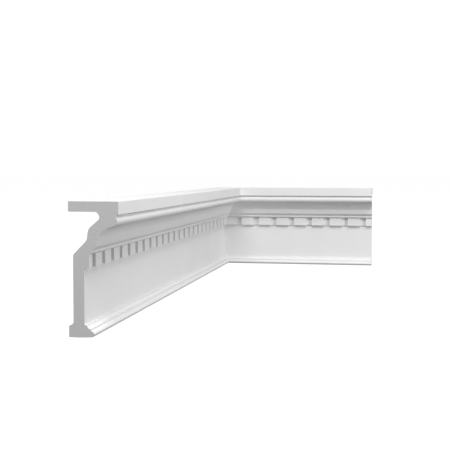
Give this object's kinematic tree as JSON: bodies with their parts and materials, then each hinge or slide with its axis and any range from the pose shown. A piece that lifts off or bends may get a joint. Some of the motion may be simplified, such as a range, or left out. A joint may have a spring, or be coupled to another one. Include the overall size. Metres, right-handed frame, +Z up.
{
  "type": "wall moulding",
  "caption": "White dentil wall moulding with a hollow back, mitred round the inside corner of a room and cut square at its ends.",
  "frame": {"origin": "on the wall side of the long length's foot, halfway along that length and halfway up the foot; the underside is 7.4 mm below it", "axes": "+Z up; +Y along the long length, towards the corner of the room; +X out of the long length's wall and along the short length"},
  "size_m": [0.3545, 1.007, 0.1725],
  "materials": {
    "primed_foam": "white factory primer on moulded rigid foam, matt"
  },
  "bodies": {
    "root": {"long_length": "primed_foam", "short_length": "primed_foam"}
  },
  "joints": []
}
